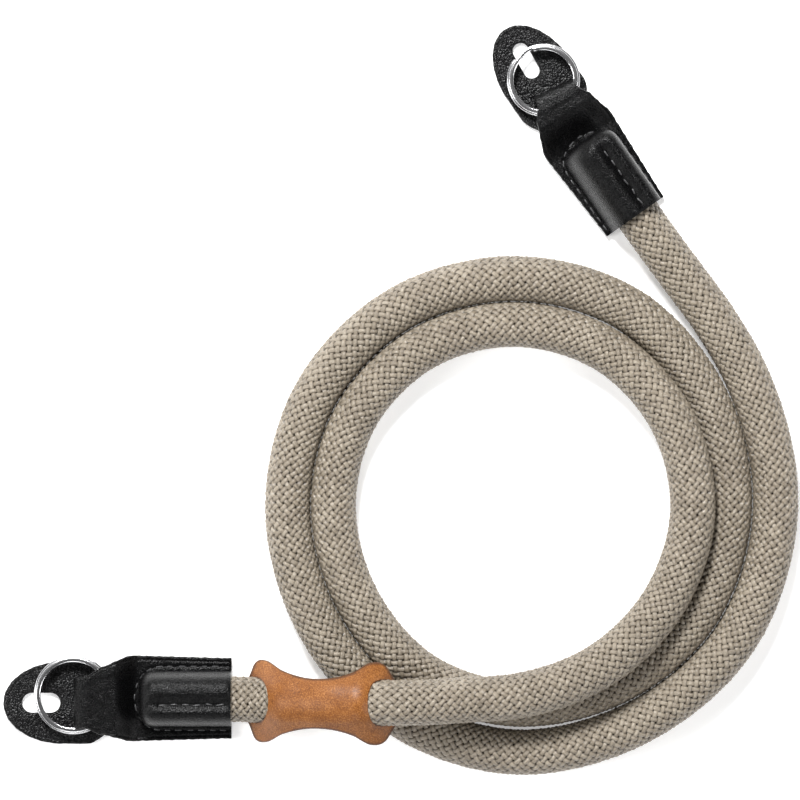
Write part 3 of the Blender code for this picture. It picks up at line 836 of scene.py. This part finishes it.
def pocket_rise(end, along, across):
    """Height of the pocket over the flange, with the groove between its lobes."""
    fill = pocket_fill(along, across)
    if fill <= 0:
        return 0
    past = max(0, along - ROPE_IN_POCKET) / (POCKET_LENGTH - ROPE_IN_POCKET)
    crest = ROPE_SEAT + ROPE_RADIUS + LOBE_HEIGHT - 2 * COVER_LEATHER
    aside = across - end["seam_shift"]
    seam = SEAM_DEPTH * hump(aside, SEAM_WIDTH) * (1 - past)
    cut = SEAM_CUT_DEPTH * hump(aside, SEAM_CUT_WIDTH) * (1 - past)
    cut *= eased((along - SEAM_CUT_START) / SEAM_CUT_FADE)
    return crest * fill ** (1 / POCKET_SQUARENESS) - seam - cut


def cover_floor(along):
    """Height of the cover's underside, which steps up over the pad."""
    return LOOP_FLOOR * eased(1 + (along - FLANGE_LENGTH) / NECK_STEP)


def cover_top(end, along):
    """Height of the cover's top beside the pocket, which climbs to the loop."""
    flange_top = 2 * COVER_LEATHER
    ring_edge = end["ring_centre"] - end["ring_diameter"] / 2 - RING_PLAY
    climb = eased((along - POCKET_LENGTH) / (ring_edge - POCKET_LENGTH))
    return flange_top + (LOOP_TOP - flange_top) * climb


def stitch_half(end, along):
    """How far the stitch line runs from the middle: beside the pocket, on the flange."""
    margin = cover_half_width(end, min(along, ROPE_IN_POCKET)) - POCKET_HALF
    return POCKET_HALF + min(STITCH_GAP, margin / 2)


def stitch_line_gap(end, along, across):
    """Distance of a point from the stitch line round the pocket's foot."""
    half = stitch_half(end, along)
    if along <= ROPE_IN_POCKET:
        return abs(abs(across) - half)
    stretch = (POCKET_LENGTH + STITCH_GAP - ROPE_IN_POCKET) / half
    return abs(hypot((along - ROPE_IN_POCKET) / stretch, across) - half)


def leather_wave(along, across):
    """Slow and fine unevenness of the leather, with so many radians for each metre."""
    slow = sin(along * 900 + 3 * sin(across * 520)) * sin(across * 700 + along * 310)
    fine = sin(along * 2300 + 2 * sin(across * 1300)) * sin(across * 1900 - along * 700)
    return SLOW_WAVE * slow + FINE_WAVE * fine


def cover_relief(end, along, across):
    """Small creases pressed into the cover's top."""
    edge = cover_half_width(end, along)
    crease_gap = min(CREASE_GAPS[1], max(CREASE_GAPS[0], 0.3 * (edge - POCKET_HALF)))
    fade = 1 - eased((along - end["length"] + CREASE_END) / CREASE_FADE)
    crease = CREASE_DEPTH * hump(edge - abs(across) - crease_gap, CREASE_WIDTH) * fade
    stitched = STITCH_DENT_DEPTH * hump(stitch_line_gap(end, along, across), STITCH_DENT_WIDTH)
    from_fold = end["length"] - along
    ridge = FOLD_RELIEF * hump(from_fold - FOLD_RIDGE[0], FOLD_RIDGE[1])
    hollow = FOLD_RELIEF * hump(from_fold - FOLD_HOLLOW[0], FOLD_HOLLOW[1])
    return ridge - hollow - crease - stitched + leather_wave(along, across)


def cover_point(end, along, across, height, high):
    """A point of an end in its own frame, leaned and skewed as the solid is."""
    skew = eased((along - FLANGE_LENGTH) / (end["length"] - FLANGE_LENGTH))
    shift, slant = end["loop_shift"] * skew, tan(radians(end["loop_turn"])) * skew
    leaning = leaned(end, across, height) if height > high + LEAN_START else across
    outside = eased((abs(across) - POCKET_HALF) / FLANGE_BLEND)
    leaning += end["edge_shift"] * (1 - skew) * outside
    return (along - slant * across, leaning + shift, height)


def across_shares(shift):
    """Shares of the pocket's half width, from one foot over the seam to the other."""
    seam = shift / POCKET_HALF
    shares = [seam]
    for step in SEAM_STEPS:
        shares += [seam + step / POCKET_HALF, seam - step / POCKET_HALF]
    for share in FOOT_SHARES:
        shares += [share, -share]
    return sorted(shares, reverse=True)


def edge_profile(edge, corner, low, high):
    """One cut edge of a section, from the underside up, with the line between its layers."""
    middle, cut = (low + high) / 2, corner * BEVEL
    side = [(edge - UNDER_INSET, low), (edge - corner, low), (edge - cut, low + cut)]
    side += [(edge, low + corner), (edge, middle - LAYER_LINE_HALF)]
    side += [(edge - LAYER_LINE_DEPTH, middle), (edge, middle + LAYER_LINE_HALF)]
    return side + [(edge, high - corner), (edge - cut, high - cut)]


def cover_section(end, along, low, high, relief=1.0):
    """One fine section of the cover: its edge has two layers of leather."""
    edge = cover_half_width(end, along)
    edge += EDGE_WAVE * sin(along * 2100) + FINE_EDGE_WAVE * sin(along * 3700 + 1)
    corner = min(COVER_CORNER, (high - low) / 4)
    inside = min(POCKET_HALF, edge - FLANGE_LEAST)
    room = edge - corner - inside * FOOT_SHARES[0]
    steps = [edge - corner - room * step for step in EDGE_STEPS]
    crossing = steps + [inside * share for share in across_shares(end["seam_shift"])]
    crossing += [-across for across in reversed(steps)]
    top = []
    for across in crossing:
        within = min(POCKET_HALF, max(-POCKET_HALF, across * POCKET_HALF / inside))
        height = high + pocket_rise(end, along, within)
        top.append((across, height + relief * cover_relief(end, along, across)))
    side = edge_profile(edge, corner, low, high)
    outline = side + top + [(-across, height) for across, height in reversed(side)]
    return [cover_point(end, along, across, height, high) for across, height in outline]


def cover_sections(end):
    """The cover's sections, from its mouth to the far side of the fold round the ring."""
    half_fold = (LOOP_TOP - LOOP_FLOOR) / 2
    straight = end["length"] - half_fold
    stations = [MOUTH_STEP * k for k in range(3)] + [COVER_FIRST + COVER_STEP * k for k in range(90)]
    sections = []
    for along in stations:
        if along < straight:
            high = cover_top(end, along) - MOUTH_ROUND * hump(along, MOUTH_ROUND_LENGTH)
            sections.append(cover_section(end, along, cover_floor(along), high))
    for turn in FOLD_TURNS:
        rest, along = cos(radians(turn)), straight + half_fold * sin(radians(turn))
        drop = half_fold * (1 - rest)
        sections.append(cover_section(end, along, LOOP_FLOOR + drop, LOOP_TOP - drop, rest))
    return sections


def closed_mesh(name, points, faces):
    """A mesh whose faces all look outward."""
    mesh = bpy.data.meshes.new(name)
    mesh.from_pydata(points, [], faces)
    work = bmesh.new()
    work.from_mesh(mesh)
    bmesh.ops.recalc_face_normals(work, faces=work.faces)
    work.to_mesh(mesh)
    work.free()
    return mesh


def loft_mesh(name, sections):
    """A closed mesh through the sections, each a closed outline."""
    points = [point for section in sections for point in section]
    return closed_mesh(name, points, tube_faces(len(sections), len(sections[0])))


def cut_mesh(mesh, cutters):
    """The mesh with the cutters' shapes taken out of it."""
    thing = bpy.data.objects.new("cut", mesh)
    bpy.context.scene.collection.objects.link(thing)
    helpers = []
    for cutter in cutters:
        helper = bpy.data.objects.new("cutter", cutter)
        bpy.context.scene.collection.objects.link(helper)
        helpers.append(helper)
        change = thing.modifiers.new("cut", "BOOLEAN")
        change.operation = "DIFFERENCE"
        change.solver = "EXACT"
        change.object = helper
    bpy.context.view_layer.update()
    view = bpy.context.evaluated_depsgraph_get()
    result = bpy.data.meshes.new_from_object(thing.evaluated_get(view))
    for helper in helpers + [thing]:
        bpy.data.objects.remove(helper, do_unlink=True)
    return result


def ring_sweep(name, radii, heights, sides=96):
    """A flat round channel's mesh, turned about Z."""
    inner, outer = radii
    low, high = heights
    corners = ((outer, high), (outer, low), (inner, low), (inner, high))
    points = []
    for k in range(sides):
        turn = 2 * pi * k / sides
        points += [(radius * cos(turn), radius * sin(turn), z) for radius, z in corners]
    return closed_mesh(name, points, grid_faces(sides, len(corners), wrap=True, closed=True))


def rope_cutter(line, start, stop, radius):
    """A tube round the rope's centre line, to cut its hole."""
    s = np.linspace(start, stop, max(2, int((stop - start) / CUTTER_STEP)))
    turn = np.linspace(0, 2 * pi, CUTTER_SIDES, endpoint=False)
    ss, tt = np.meshgrid(s, turn, indexing="ij")
    sections = [[tuple(point) for point in ring] for ring in line.around(ss, tt, radius)]
    return loft_mesh("rope_cutter", sections)


def ring_frame(end):
    return end_frame(end) @ Matrix.Translation((end["ring_centre"], end["ring_shift"], 0))


def make_cover(name, end, line, material):
    """An end's leather, with the rope's hole and the ring's channel cut out."""
    mesh = loft_mesh(name, cover_sections(end))
    mesh.transform(end_frame(end))
    outer = end["ring_diameter"] / 2
    radii = (outer - RING_WIRE_WIDTH - RING_PLAY, outer + RING_PLAY)
    heights = (RING_FLOOR - RING_PLAY, RING_FLOOR + RING_HEIGHT + RING_PLAY)
    channel = ring_sweep("channel", radii, heights)
    channel.transform(ring_frame(end))
    reach = (HOLE_START, ROPE_IN_POCKET + HOLE_PAST)
    if name == "end_b":
        reach = (line.length - reach[1], line.length - reach[0])
    mesh = cut_mesh(mesh, [rope_cutter(line, *reach, ROPE_CLEAR), channel])
    finish_piece(name + "_leather", mesh, material, "strap", (name + "_cover",))


def add_stitch(points, faces, start, stop, sides=7):
    """Adds a stitch: a short round thread whose ends dip into the leather."""
    way = stop - start
    length = way.length
    way.normalize()
    side = way.cross(Vector((0, 0, 1))).normalized()
    top = side.cross(way)
    base = len(points)
    for share, size, lift in STITCH_RINGS:
        centre = start + way * length * share + top * THREAD_RADIUS * lift
        for k in range(sides):
            turn = 2 * pi * k / sides
            points.append(centre + THREAD_RADIUS * size * (cos(turn) * side + sin(turn) * top))
    for face in tube_faces(len(STITCH_RINGS), sides):
        faces.append(tuple(base + i for i in face))


def top_point(end, place, along, across, lift):
    """A point over the cover's top, in the world."""
    high = cover_top(end, along)
    height = high + pocket_rise(end, along, across) + cover_relief(end, along, across) + lift
    return place @ Vector(cover_point(end, along, across, height, high))


def stitch_route(end):
    """The stitch line round the pocket, as rows of along and across."""
    reach = POCKET_LENGTH + STITCH_GAP - ROPE_IN_POCKET
    straight = [STITCH_START + (ROPE_IN_POCKET - STITCH_START) * k / 60 for k in range(60)]
    rows = [(along, stitch_half(end, along)) for along in straight]
    half = stitch_half(end, ROPE_IN_POCKET)
    for k in range(121):
        turn = pi * k / 120
        rows.append((ROPE_IN_POCKET + reach * sin(turn), half * cos(turn)))
    rows += [(along, -stitch_half(end, along)) for along in reversed(straight)]
    return rows


def make_stitches(name, end, material):
    """Thread round the pocket and along the seam between its lobes."""
    place = end_frame(end)
    points, faces = [], []
    spots = [top_point(end, place, along, across, STITCH_LIFT) for along, across in stitch_route(end)]
    arc = [0.0]
    for a, b in zip(spots, spots[1:]):
        arc.append(arc[-1] + (b - a).length)

    def at(length):
        for i in range(len(arc) - 1):
            if arc[i] <= length <= arc[i + 1]:
                return spots[i].lerp(spots[i + 1], (length - arc[i]) / (arc[i + 1] - arc[i]))
        return spots[-1]

    for k in range(int(arc[-1] / STITCH_PITCH)):
        start = k * STITCH_PITCH + STITCH_UNEVEN * (2 + sin(5.3 * k))
        stop = start + STITCH_LENGTH + STITCH_UNEVEN * sin(3.7 * k)
        add_stitch(points, faces, at(start), at(stop))
    for k in range(SEAM_STITCHES):
        along = SEAM_STITCH_START + SEAM_STITCH_PITCH * k
        side = end["seam_shift"] + 0.5 * STITCH_UNEVEN * sin(4.1 * k)
        tilt = STITCH_UNEVEN * sin(2.9 * k + 1)
        start = top_point(end, place, along, side - tilt, SEAM_STITCH_LIFT)
        stop = top_point(end, place, along + STITCH_LENGTH + tilt, side + tilt, SEAM_STITCH_LIFT)
        add_stitch(points, faces, start, stop)
    made = [tuple(point) for point in points]
    new_piece(name + "_stitches", made, faces, material, "strap")


def pad_half_width(end, along):
    """Half the pad's width, so far from its tip."""
    full, tail = end["pad_width"] / 2, PAD_TAIL_WIDTH / 2
    if along < PAD_NOSE:
        return full * sqrt(1 - (1 - along / PAD_NOSE) ** 2)
    length = PAD_TIP - PAD_TAIL_END - PAD_TAIL_STRAIGHT - PAD_SHOULDER
    return full + (tail - full) * eased((along - PAD_SHOULDER) / length)


def farthest(inside, limit):
    """The greatest distance up to the limit that is still inside, found by halving."""
    low, high = 0.0, limit
    for _ in range(30):
        reach = (low + high) / 2
        low, high = (reach, high) if inside(reach) else (low, reach)
    return low


def ray_to_outline(end, centre, turn):
    """Distance from the slot's middle to the pad's outline, in one direction."""
    length = PAD_TIP - PAD_TAIL_END

    def inside(reach):
        x, y = centre + reach * cos(turn), reach * sin(turn)
        return 0 < x < length and abs(y) < pad_half_width(end, length - x)

    return farthest(inside, length)


def ray_to_slot(end, turn):
    """Distance from the slot's middle to its edge, in one direction."""
    radius = end["slot_width"] / 2
    straight = SLOT_LENGTH / 2 - radius
    turn -= radians(end["slot_turn"])

    def inside(reach):
        x, y = abs(reach * cos(turn)), abs(reach * sin(turn))
        return y < radius if x < straight else hypot(x - straight, y) < radius

    return farthest(inside, SLOT_LENGTH)


def pad_profile(outer, inner, turn):
    """The pad's section from its rim over the top to the slot, as radii and heights."""
    top, corner, cut = PAD_LEATHER, PAD_CORNER, PAD_CORNER * BEVEL
    profile = [(outer - corner, 0), (outer - cut, cut), (outer, corner)]
    profile += [(outer, top - corner), (outer - cut, top - cut), (outer - corner, top)]
    for step in PAD_CREASE:
        groove = PAD_CREASE_DEPTH if step == PAD_CREASE[1] else 0
        profile.append((outer - corner - step, top - groove))
    start = outer - corner - PAD_CREASE[-1]
    span = start - inner - corner
    for share in (0.25, 0.5, 0.75):
        radius = start - span * share
        profile.append((radius, top + SLOW_WAVE * sin(radius * 900 + 3 * turn)))
    profile += [(inner + corner, top), (inner + cut, top - cut)]
    return profile + [(inner, top - corner), (inner, corner), (inner + corner, 0)]


def make_pad(name, end, material):
    """The pad as a closed ring of sections round its slot, with rounded cut edges."""
    centre = SLOT_CENTRE - PAD_TAIL_END
    points = []
    for k in range(PAD_COLUMNS):
        turn = 2 * pi * k / PAD_COLUMNS
        outer, inner = ray_to_outline(end, centre, turn), ray_to_slot(end, turn)
        outer += PAD_RIM_WAVE * sin(17 * turn) + FINE_PAD_RIM_WAVE * sin(41 * turn + 1)
        profile = pad_profile(outer, inner, turn)
        points += [(centre + r * cos(turn), r * sin(turn), z) for r, z in profile]
    faces = grid_faces(PAD_COLUMNS, len(profile), wrap=True, closed=True)
    mesh = closed_mesh(name, points, faces)
    mesh.transform(end_frame(end) @ Matrix.Translation((PAD_TAIL_END, end["pad_shift"], 0)))
    finish_piece(name + "_pad_leather", mesh, material, "strap", (name + "_pad",))


def crowned(value):
    """A sine or cosine changed so that the round wire gets flat sides."""
    return abs(value) ** RING_CROWN * (1 if value > 0 else -1)


def wire_section(end, turn, size):
    """One section of the ring's wire, after so many turns."""
    pitch = RING_WIRE_HEIGHT + RING_TURN_GAP
    lift = eased((turn - RING_STEP_START) / (1 - RING_STEP_START)) * pitch
    middle = (end["ring_diameter"] - RING_WIRE_WIDTH) / 2 + RING_SPREAD * (0.5 - lift / pitch)
    half_width, half_height = (RING_WIRE_WIDTH - RING_SPREAD) / 2, RING_WIRE_HEIGHT / 2
    angle = 2 * pi * turn + radians(end["ring_start"])
    section = []
    for j in range(RING_SIDES):
        t = 2 * pi * j / RING_SIDES
        out = middle + half_width * size * crowned(cos(t))
        height = RING_FLOOR + half_height + lift + half_height * size * crowned(sin(t))
        section.append((out * cos(angle), out * sin(angle), height))
    return section


def make_ring(name, end, material):
    """A split ring of two turns of crowned flat wire, with blunt ends."""
    total = int(RING_POINTS * (1 + RING_STEP_START)) + 1
    sections = []
    for k in range(total):
        size = (0.80, 0.95, 1.0)[min(2, k, total - 1 - k)]
        sections.append(wire_section(end, k / RING_POINTS, size))
    mesh = loft_mesh(name, sections)
    layer = mesh.uv_layers.new(name="wire")
    for polygon in mesh.polygons:
        for loop in polygon.loop_indices:
            i, j = divmod(mesh.loops[loop].vertex_index, RING_SIDES)
            layer.data[loop].uv = (i / RING_POINTS, abs(2 * j / RING_SIDES - 1))
    mesh.transform(ring_frame(end))
    finish_piece(name + "_split_ring", mesh, material, end["body"], (name + "_ring",), 50)


def lead_in_rows(line):
    """The straight lead-in's points, and the climb at each."""
    points = line.points[:int(np.argmax(line.points[:, 0] > LEAD_IN[-1][0]))]
    return points, np.gradient(points[:, 2], points[:, 0])


def rope_at(rows, x):
    """The rope's centre and slope where the straight lead-in passes x."""
    points, climbs = rows
    return [float(np.interp(x, points[:, 0], row)) for row in (points[:, 1], points[:, 2], climbs)]


def slider_height(centre, slope, across, share):
    """Height of the slider's middle surface where the rope has this height and slope."""
    stand = (ROPE_CLEAR + SLIDER_LEATHER / 2) * sqrt(1 + slope * slope)
    inward = min(share, 1 - share) * SLIDER_LENGTH
    past = inward - SLIDER_BRIDGE
    if abs(past) < SLIDER_BEND:
        past = (past + SLIDER_BEND) ** 2 / (4 * SLIDER_BEND)
    climb = min(1, max(0, past / SLIDER_RISE))
    bend = min(abs(across), stand * SLIDER_DRAPE)
    drape = sqrt(stand**2 - bend**2) - SLIDER_FALL * (abs(across) - bend)
    return centre - stand + sin(climb * pi / 2) * (stand + drape)


def slider_half_width(share):
    return SLIDER_EAR_WIDTH / 2 * smooth_value(SLIDER_OUTLINE, share)


def slider_sheet(lead_in):
    """The slider's middle surface as a grid of points, and how far each is from the rim."""
    points = np.zeros((SLIDER_COLUMNS + 1, SLIDER_ROWS + 1, 3))
    inset = np.zeros((SLIDER_COLUMNS + 1, SLIDER_ROWS + 1))
    for i in range(SLIDER_COLUMNS + 1):
        share = i / SLIDER_COLUMNS
        x = POCKET_SEAT + SLIDER_START + SLIDER_LENGTH * share
        y, centre, slope = rope_at(lead_in, x)
        half = slider_half_width(share)
        for j in range(SLIDER_ROWS + 1):
            t = 2 * j / SLIDER_ROWS - 1
            across = half * (t + SLIDER_CROWDING * (t - t**3))
            height = slider_height(centre, slope, across + SLIDER_SHIFT, share)
            points[i, j] = (x, y + across + SLIDER_SHIFT, height)
            from_end = min(share, 1 - share) * SLIDER_LENGTH
            inset[i, j] = min(half - abs(across), from_end)
    return points, inset


def sheet_faces(columns, rows):
    """Faces of a thick sheet: the grid on top, the same below it and the rim between them."""
    n = columns * rows
    faces = grid_faces(columns, rows)
    low = [tuple(n + i for i in reversed(face)) for face in faces]
    rim = [i * rows for i in range(columns)]
    rim += [(columns - 1) * rows + j for j in range(1, rows)]
    rim += [i * rows + rows - 1 for i in range(columns - 2, -1, -1)]
    rim += [j for j in range(rows - 2, 0, -1)]
    sides = [(a, b, n + b, n + a) for a, b in zip(rim, rim[1:] + rim[:1])]
    return faces + low + sides


def make_slider(line, material):
    """The leather keeper: a bent sheet with rounded edges, cut where the rope passes."""
    lead_in = lead_in_rows(line)
    points, inset = slider_sheet(lead_in)
    normal = np.cross(np.gradient(points, axis=0), np.gradient(points, axis=1))
    normal /= np.linalg.norm(normal, axis=-1, keepdims=True)
    inset = np.clip(inset / SLIDER_ROUND, 0, 1)
    thickness = SLIDER_RIM + (1 - SLIDER_RIM) * np.sqrt(1 - (1 - inset) ** 2)
    half = normal * (SLIDER_LEATHER / 2 * thickness)[..., None]
    both = np.concatenate(((points + half).reshape(-1, 3), (points - half).reshape(-1, 3)))
    mesh = closed_mesh("slider", both.tolist(), sheet_faces(SLIDER_COLUMNS + 1, SLIDER_ROWS + 1))
    start = ROPE_IN_POCKET - HOLE_PAST
    stop = start + SLIDER_LENGTH + SLIDER_HOLE_PAST
    mesh = cut_mesh(mesh, [rope_cutter(line, start, stop, ROPE_CLEAR - SLIDER_HUG)])
    mark_edges(mesh, lead_in)
    finish_piece("slider_leather", mesh, material, "strap", ("slider",), 50)


def mark_edges(mesh, lead_in):
    """Marks the cut edges of the slider for its material, and leaves 0 elsewhere; the mark round the
    rope's holes is burnished edge and painted shade.
    """
    mesh.shade_smooth()
    layer = mesh.attributes.new("edge", "FLOAT", "POINT")
    values = []
    for vertex in mesh.vertices:
        x, y, z = vertex.co
        middle_y, centre, _ = rope_at(lead_in, x)
        share = (x - POCKET_SEAT - SLIDER_START) / SLIDER_LENGTH
        half = slider_half_width(min(1, max(0, share)))
        # Round the rope's holes the dark mark is burnished edge and painted shade, for the gap where
        # the rope goes under the leather.
        hole = abs(hypot(y - middle_y, z - centre) - ROPE_CLEAR) < HOLE_MARK
        rim = half - abs(y - middle_y - SLIDER_SHIFT) < RIM_MARK
        values.append(EDGE_DARKNESS if hole or rim else 0.0)
    layer.data.foreach_set("value", values)


def make_strap():
    """The rope first, then the two ends and the slider."""
    line = RopeLine()
    core = make_core(line, core_material())
    stretches = make_braid(line, yarn_material())
    path = [tuple(point) for point in rope_route(PATH_STEP)]
    black, pads = black_leather_material(), pad_leather_material()
    thread, steel = thread_material(), steel_material()
    for name, end in ENDS.items():
        make_cover(name, end, line, black)
        make_stitches(name, end, thread)
        make_pad(name, end, pads)
        make_ring(name, end, steel)
    make_slider(line, tan_leather_material())


make_camera()
make_strap()
make_stage()
